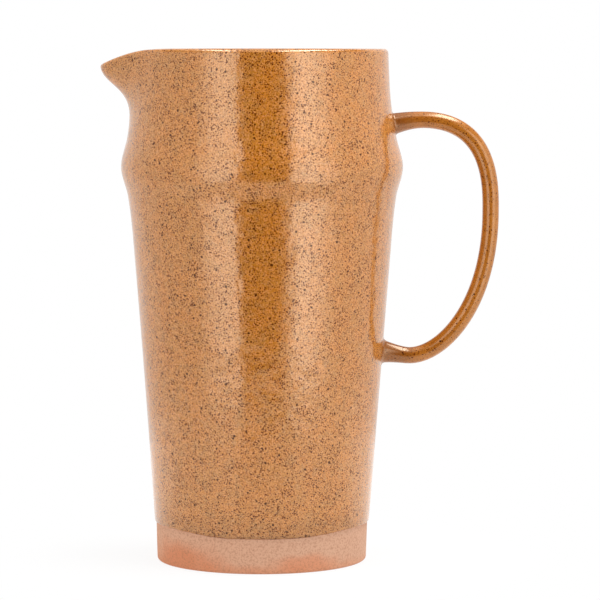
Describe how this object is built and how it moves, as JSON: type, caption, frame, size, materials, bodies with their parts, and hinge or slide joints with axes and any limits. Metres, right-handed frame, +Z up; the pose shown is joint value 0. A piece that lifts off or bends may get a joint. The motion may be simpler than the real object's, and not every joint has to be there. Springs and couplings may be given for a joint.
{
  "type": "jug",
  "caption": "Tall tapered stoneware jug with a swollen band under its neck, a pulled pouring lip, a round loop handle and a bare clay foot, for serving drinks.",
  "frame": {"origin": "centre of the flat base, on the surface that the jug stands on", "axes": "+Z up along the axis of the body, +X towards the handle, -X towards the pouring lip, +Y to the right as seen from the handle's side, looking towards the lip"},
  "size_m": [0.1867, 0.1322, 0.24],
  "materials": {
    "amber_glaze": "glossy amber glaze with fine dark brown specks",
    "bare_clay": "matte, bare fired pink clay"
  },
  "bodies": {
    "root": {"clay_body": "bare_clay", "outer_glaze": "amber_glaze", "inner_glaze": "amber_glaze", "handle": "amber_glaze", "upper_handle_slip": "amber_glaze", "lower_handle_slip": "amber_glaze"}
  },
  "joints": []
}
